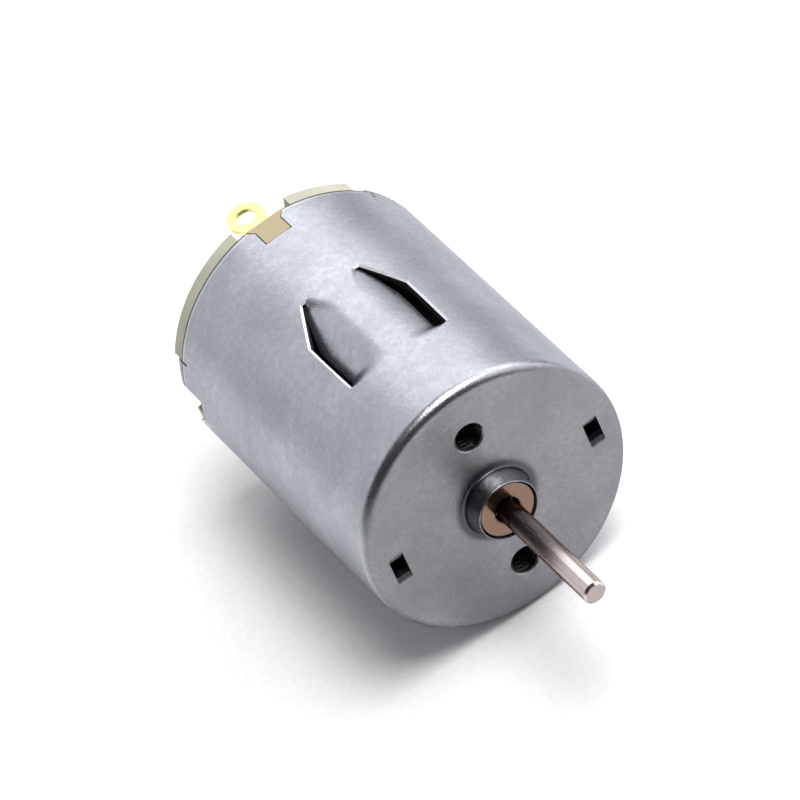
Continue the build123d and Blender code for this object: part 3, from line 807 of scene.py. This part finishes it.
def front_face(sheet):
    """The flat mounting face, with two slots and the mouths of the two tapped holes."""
    boss_root = BOSS_RADIUS + BOSS_ROOT
    outer = ring_points(CAN_RADIUS - CORNER, COLUMNS)
    root = ring_points(boss_root, BOSS_COLUMNS)
    slots = [slot_hole(side) for side in (1, -1)]
    ramps = [slot_ramp(side, end, inset)
             for side in (1, -1) for end in (1, -1) for inset in (0, SLOT_LIP)]
    mouths = [circle(MOUTH_RADIUS, MOUTH_POINTS, (0, z)) for z in (HOLE_CIRCLE, -HOLE_CIRCLE)]
    guards = [circle(GUARD_RADIUS, GUARD_POINTS, (0, z)) for z in (HOLE_CIRCLE, -HOLE_CIRCLE)]
    loops = [outer, root] + slots + mouths + guards
    points, faces = triangulate(loops, ramps, face_points(slots + guards + ramps))
    for face in faces:
        x = sum(points[i][0] for i in face) / 3
        z = sum(points[i][1] for i in face) / 3
        if hypot(x, z) < boss_root * cos(pi / BOSS_COLUMNS) or hypot(x, z) > CAN_RADIUS - CORNER:
            continue
        if any(inside(x, z, s) for s in slots + mouths):
            continue
        corners = [points[i] for i in face]
        sheet.face([(Vector((px, ramp_depth(px, pz), pz)), face_inner(px, pz)) for px, pz in corners])


def boss(sheet):
    """The drawn boss round the bush, from its root fillet up its slight draft to its rolled rim."""
    rows = []
    for i in range(9):
        turn = radians(90 * i / 8)
        inner_radius = max(BUSH_RADIUS, BOSS_RADIUS + BOSS_ROOT - 0.15 * i)
        rows.append((BOSS_RADIUS + BOSS_ROOT * (1 - sin(turn)), -BOSS_ROOT * (1 - cos(turn)),
                     inner_radius, FRONT_WALL - 0.05 * max(0, i - 5)))
    for i in range(1, 5):
        t = i / 4
        y = -BOSS_ROOT + (BOSS_FRONT + BOSS_EDGE + BOSS_ROOT) * t
        seat_y = SEAT_START + (SEAT_END - SEAT_START) * t
        rows.append((BOSS_RADIUS - BOSS_DRAFT * t, y, BUSH_RADIUS, seat_y))
    rim = BOSS_RADIUS - BOSS_DRAFT
    for i in range(1, 6):
        turn = radians(90 * i / 5)
        rows.append((rim - BOSS_EDGE * (1 - cos(turn)), BOSS_FRONT + BOSS_EDGE * (1 - sin(turn)),
                     BUSH_RADIUS, SEAT_END - 0.025 * i))
    rows.append((BUSH_RADIUS + 0.06, BOSS_FRONT, BUSH_RADIUS, SEAT_END - 0.14))
    rows.append((BUSH_RADIUS, BOSS_FRONT + 0.06, BUSH_RADIUS, SEAT_END - 0.16))
    revolve(sheet, rows, BOSS_COLUMNS)


def add_ring(verts, centre, angles, radii, y):
    """A ring of new points round a hole's centre; their numbers are returned."""
    first = len(verts)
    for around, radius in zip(angles, radii):
        verts.append(Vector((radius * cos(around), y, centre + radius * sin(around))))
    return list(range(first, len(verts)))


def thread_radius(around, y):
    """The thread's radius at this angle and depth."""
    wave = ((y - THREAD_START) / THREAD_PITCH - around / (2 * pi)) % 1.0
    crest = min(1.0, THREAD_SLOPE * min(wave, 1 - wave))
    return THREAD_MAJOR + 0.02 - (THREAD_MAJOR - THREAD_MINOR) * crest


def tapped_collar(verts, faces, mouth, collar, centre):
    """The hole's thread and the collar behind it; the thread's faces are returned."""
    first, count = len(faces), len(mouth)
    angles = [atan2(verts[i].z - centre, verts[i].x) for i in mouth]
    rings = [mouth, add_ring(verts, centre, angles, [THREAD_MAJOR] * count, THREAD_START)]
    for step in range(1, THREAD_STEPS + 1):
        y = THREAD_START + THREAD_LENGTH * step / THREAD_STEPS
        rings.append(add_ring(verts, centre, angles, [thread_radius(a, y) for a in angles], y))
    for radius, y in ((MOUTH_RADIUS, COLLAR_END), (COLLAR_RADIUS - COLLAR_CHAMFER, COLLAR_END),
                      (COLLAR_RADIUS, COLLAR_END - COLLAR_CHAMFER)):
        rings.append(add_ring(verts, centre, angles, [radius] * count, y))
    rings.append(collar)
    for a, b in zip(rings, rings[1:]):
        for k in range(count):
            n = (k + 1) % count
            faces.append([a[k], a[n], b[n], b[k]])
    return range(first + count, first + count * (THREAD_STEPS + 1))


def radius_of(v):
    """The point's distance from the shaft's axis."""
    return hypot(v.x, v.z)


def in_vent(a, b):
    """True if an outer edge of the can is part of a vent's cut."""
    return VENT_FRONT < a.y < VENT_REAR and VENT_FRONT < b.y < VENT_REAR


def vent_lips(verts, border):
    """Adds a point inside each point of a vent's fixed edge, where the rubbed corner, painted bright as a
    highlight, ends.
    """
    sideways = {}
    for a, b in border:
        va, vb = verts[a], verts[b]
        if in_vent(va, vb) and min(radius_of(va), radius_of(vb)) > CAN_RADIUS - 0.02:
            out = (vb - va).normalized().cross(Vector((va.x, 0, va.z)).normalized())
            for i in (a, b):
                sideways[i] = sideways.get(i, Vector()) + out
    lip = {}
    for i, out in sideways.items():
        v = verts[i].copy()
        down = Vector((v.x, 0, v.z)).normalized() * CHAMFER_DOWN
        lip[i] = len(verts)
        verts.append(v + out.normalized() * CHAMFER_OUT - down)
    return lip


def outward_faces(sheet):
    """The sheet's faces, each turned to look away from its inner side."""
    faces = []
    for face in sheet.faces:
        a, b, c = (sheet.outer[i] for i in face[:3])
        normal = (b - a).cross(c - a)
        inner = (sheet.inner[face[0]] + sheet.inner[face[1]] + sheet.inner[face[2]]) / 3
        outwards = (a + b + c) / 3 - inner
        faces.append(face[::-1] if normal.dot(outwards) < 0 else face)
    return faces


def open_edges(faces):
    """The edges that have a face on one side only, in that face's direction."""
    edges = dict.fromkeys(edge for face in faces for edge in zip(face, face[1:] + face[:1]))
    return [(a, b) for a, b in edges if (b, a) not in edges]


def build_can():
    """The can as one closed skin: its outer and inner side, joined along every open edge."""
    sheet = Sheet()
    side_wall(sheet)
    corner_ring(sheet)
    front_face(sheet)
    boss(sheet)
    count = len(sheet.outer)
    verts = sheet.outer + sheet.inner
    faces = outward_faces(sheet)
    border = open_edges(faces)
    faces += [[i + count for i in reversed(face)] for face in faces]
    lip = vent_lips(verts, border)
    marks = {}
    holes = {HOLE_CIRCLE: {}, -HOLE_CIRCLE: {}}
    for a, b in border:
        v = verts[a]
        centre = HOLE_CIRCLE if v.z > 0 else -HOLE_CIRCLE
        if abs(v.y) < 1e-6 and hypot(v.x, v.z - centre) < MOUTH_RADIUS + 0.1:
            holes[centre][b] = a
            continue
        if a in lip and b in lip:
            marks[len(faces)] = RUBBED_HIGHLIGHT_FACE
            faces.append([b, a, lip[a], lip[b]])
            marks[len(faces)] = TORN_AND_SHADED_FACE
            faces.append([lip[b], lip[a], a + count, b + count])
            continue
        if in_vent(verts[a], verts[b]) or v.y < BOSS_FRONT + 0.2:
            marks[len(faces)] = TORN_AND_SHADED_FACE
        faces.append([b, a, a + count, b + count])
    for centre, step in holes.items():
        loop = [next(iter(step))]
        while step[loop[-1]] != loop[0]:
            loop.append(step[loop[-1]])
        for i in tapped_collar(verts, faces, loop, [i + count for i in loop], centre):
            marks[i] = THREAD_FACE
    can = make("can_shell", verts, faces, "can_steel", "stator",
               [MATERIALS["can_steel"], SHEARED_SHADE, BURNISHED_HIGHLIGHT, THREAD], marks)
    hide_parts("can")


build_can()


# ---------------------------------------------------------------- windings
def wire_path(half, reach, bend):
    """A rounded rectangle as (across, along), from its half sizes and the radius of its bends."""
    path = []
    for cx, cy, start in ((1, 1, 0), (-1, 1, 90), (-1, -1, 180), (1, -1, 270)):
        for i in range(6):
            turn = radians(start + 18 * i)
            path.append((cx * (half - bend) + bend * cos(turn), cy * (reach - bend) + bend * sin(turn)))
    return path


def add_turn(verts, faces, path, place, chance):
    """One closed turn of wire; place makes a point from the distances up, across and along."""
    start, count = len(verts), len(path)
    wobble = [chance.uniform(-WIRE_WOBBLE, WIRE_WOBBLE) for _ in path]
    for k, (across, along) in enumerate(path):
        before, after = path[k - 1], path[(k + 1) % count]
        ahead = Vector((after[0] - before[0], after[1] - before[1])).normalized()
        slope = (k / count - 0.5) * WIRE_RADIUS
        for s in range(WIRE_SIDES):
            turn = 2 * pi * s / WIRE_SIDES
            up, out = WIRE_THICK * sin(turn) + slope, WIRE_THICK * cos(turn) + wobble[k]
            verts.append(place(up, across + ahead.y * out, along - ahead.x * out))
    for k in range(count):
        a, b = start + k * WIRE_SIDES, start + (k + 1) % count * WIRE_SIDES
        for s in range(WIRE_SIDES):
            m = (s + 1) % WIRE_SIDES
            faces.append([a + s, a + m, b + m, b + s])


def build_winding(number, angle):
    """One pole's coil, as rows of wire turns round a packed bundle."""
    low, high = node_box_mm(f"winding_{number}")
    middle_y = (low.y + high.y) / 2
    half_length = (high.y - low.y) / 2
    chance = random.Random(number)
    verts, faces = [], []
    radial = Vector((-sin(radians(angle)), 0, cos(radians(angle))))
    sideways = Vector((cos(radians(angle)), 0, sin(radians(angle))))
    layers = int((COIL_WIDTH - COIL_HOLE) / WIRE_PITCH)
    rows = int((COIL_TOP - COIL_BOTTOM) / WIRE_PITCH)
    for layer in range(layers):
        half = COIL_HOLE + WIRE_RADIUS + layer * WIRE_PITCH
        reach = half_length - (COIL_WIDTH - half) - WIRE_THICK
        path = wire_path(half, reach, BEND_RADIUS + BEND_GROWTH * layer)
        heights = [COIL_BOTTOM + WIRE_RADIUS + row * WIRE_PITCH for row in range(rows)]
        heights = [rho for rho in heights if hypot(rho + WIRE_RADIUS, half + WIRE_RADIUS) < COIL_TOP]
        for rho in heights:
            # The layers inside show only their top and bottom turns.
            if layer < layers - 2 and rho not in (heights[0], heights[-1]):
                continue

            def place(up, across, along):
                return radial * (rho + up) + sideways * across + Vector((0, middle_y + along, 0))

            add_turn(verts, faces, path, place, chance)
    coil = make(f"coil_{number}", verts, faces, "enamelled_copper", "rotor")
    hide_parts(f"winding_{number}")


for number, angle in enumerate((0, 120, 240), 1):
    build_winding(number, angle)


# ---------------------------------------------------------------- CAD pieces: softened edges
def soften_edges():
    """Rounds the edges of the CAD pieces that stay, so that they catch the light."""
    for name, node in frame["nodes"].items():
        if name in REPLACED:
            continue
        smooth(node, 30)
        soften = node.modifiers.new("soften", "BEVEL")
        soften.limit_method = "ANGLE"
        soften.angle_limit = radians(40)
        soften.width = SOFT_EDGE * MM
        soften.segments = 2


soften_edges()


# ---------------------------------------------------------------- floor, light, camera
def build_floor():
    """White paper under the motor."""
    size, z = 1.2, can_low.z * MM
    data = bpy.data.meshes.new("floor")
    corners = [(-size, -size, z), (size, -size, z), (size, size, z), (-size, size, z)]
    data.from_pydata(corners, [], [(0, 1, 2, 3)])
    g = Graph("floor_paper")
    fine = g.noise(2.0, 2, 0.5)
    base = g.ramp(fine, (0.4, (0.90, 0.90, 0.90)), (0.6, (0.93, 0.93, 0.93)))
    g.set(Base_Color=base, Roughness=0.8)
    data.materials.append(g.mat)
    obj = bpy.data.objects.new("floor", data)
    bpy.context.scene.collection.objects.link(obj)


def softbox(name, direction, distance, width, height, watts, colour=(1, 1, 1)):
    """A rectangular soft light that faces the motor from this direction."""
    data = bpy.data.lights.new(name, "AREA")
    data.shape = "RECTANGLE"
    data.size = width
    data.size_y = height
    data.energy = watts
    data.color = colour
    obj = bpy.data.objects.new(name, data)
    bpy.context.scene.collection.objects.link(obj)
    direction = Vector(direction).normalized()
    aim = Vector((0, CAN_END / 2 * MM, 0))
    obj.location = aim + direction * distance
    obj.rotation_euler = direction.to_track_quat("Z", "Y").to_euler()


def build_world():
    """A white tent: bright overhead and behind, with a dark gap low in front that metal can mirror."""
    world = bpy.data.worlds.new("studio")
    bpy.context.scene.world = world
    world.use_nodes = True
    tree = world.node_tree
    tree.nodes.clear()
    new = tree.nodes.new
    out, back = new("ShaderNodeOutputWorld"), new("ShaderNodeBackground")
    coords, split = new("ShaderNodeTexCoord"), new("ShaderNodeSeparateXYZ")
    tree.links.new(coords.outputs["Generated"], split.inputs[0])

    def step(name, low, high, to_low, to_high):
        node = new("ShaderNodeMapRange")
        node.interpolation_type = "SMOOTHSTEP"
        tree.links.new(split.outputs[name], node.inputs[0])
        for i, value in enumerate((low, high, to_low, to_high), 1):
            node.inputs[i].default_value = value
        return node.outputs[0]

    def combine(operation, a, b):
        node = new("ShaderNodeMath")
        node.operation = operation
        tree.links.new(a, node.inputs[0])
        tree.links.new(b, node.inputs[1])
        return node.outputs[0]

    dome = step("Z", 0.0, 0.6, TENT_LOW, TENT_HIGH)
    side = step("X", 0.45, 0.75, 1.0, TENT_RIGHT)
    rear = step("Y", 0.32, 0.62, TENT_AHEAD, 1.0)
    low = step("Z", 0.05, 0.45, TENT_HORIZON, 0.0)
    product = combine("MULTIPLY", combine("MULTIPLY", dome, side), combine("MAXIMUM", rear, low))
    path, choose = new("ShaderNodeLightPath"), new("ShaderNodeMix")
    tree.links.new(path.outputs["Is Camera Ray"], choose.inputs[0])
    tree.links.new(product, choose.inputs[2])
    choose.inputs[3].default_value = 1.0
    tree.links.new(choose.outputs[0], back.inputs["Strength"])
    back.inputs["Color"].default_value = (0.95, 0.965, 1.0, 1)
    tree.links.new(back.outputs[0], out.inputs[0])


def build_camera():
    """A long lens from above and in front, rolled so that the terminal leans to the left."""
    azimuth, elevation, roll = radians(-14.67), radians(42.40), radians(-25.10)
    distance, lens = 0.5316, 298.2
    aim = Vector((0.0, 0.01432, 0.0014))
    away = Vector((sin(azimuth) * cos(elevation), -cos(azimuth) * cos(elevation), sin(elevation)))
    level = Vector((0, 0, 1)).cross(away).normalized()
    upright = away.cross(level)
    right = level * cos(roll) + upright * sin(roll)
    up = away.cross(right)
    data = bpy.data.cameras.new("camera")
    data.lens = lens
    data.sensor_width = 36
    data.clip_start = 0.01
    obj = bpy.data.objects.new("camera", data)
    bpy.context.scene.collection.objects.link(obj)
    axes = Matrix((right, up, away)).transposed().to_4x4()
    obj.matrix_world = Matrix.Translation(aim + away * distance) @ axes
    bpy.context.scene.camera = obj


build_floor()
softbox("key", (0.22, -0.18, 0.959), 0.50, 0.34, 0.26, 2.5, (1.0, 0.99, 0.98))
softbox("right", (0.84, -0.30, 0.45), 0.50, 0.50, 0.42, 1.3, (0.98, 0.97, 1.0))
softbox("corner", (0.74, 0.30, 0.60), 0.50, 0.30, 0.24, 0.42, (0.98, 0.98, 1.0))
softbox("rear_top", (0.28, 0.714, 0.63), 0.60, 0.50, 0.30, 0.47)
build_world()
build_camera()
bpy.context.scene.view_settings.view_transform = "Standard"
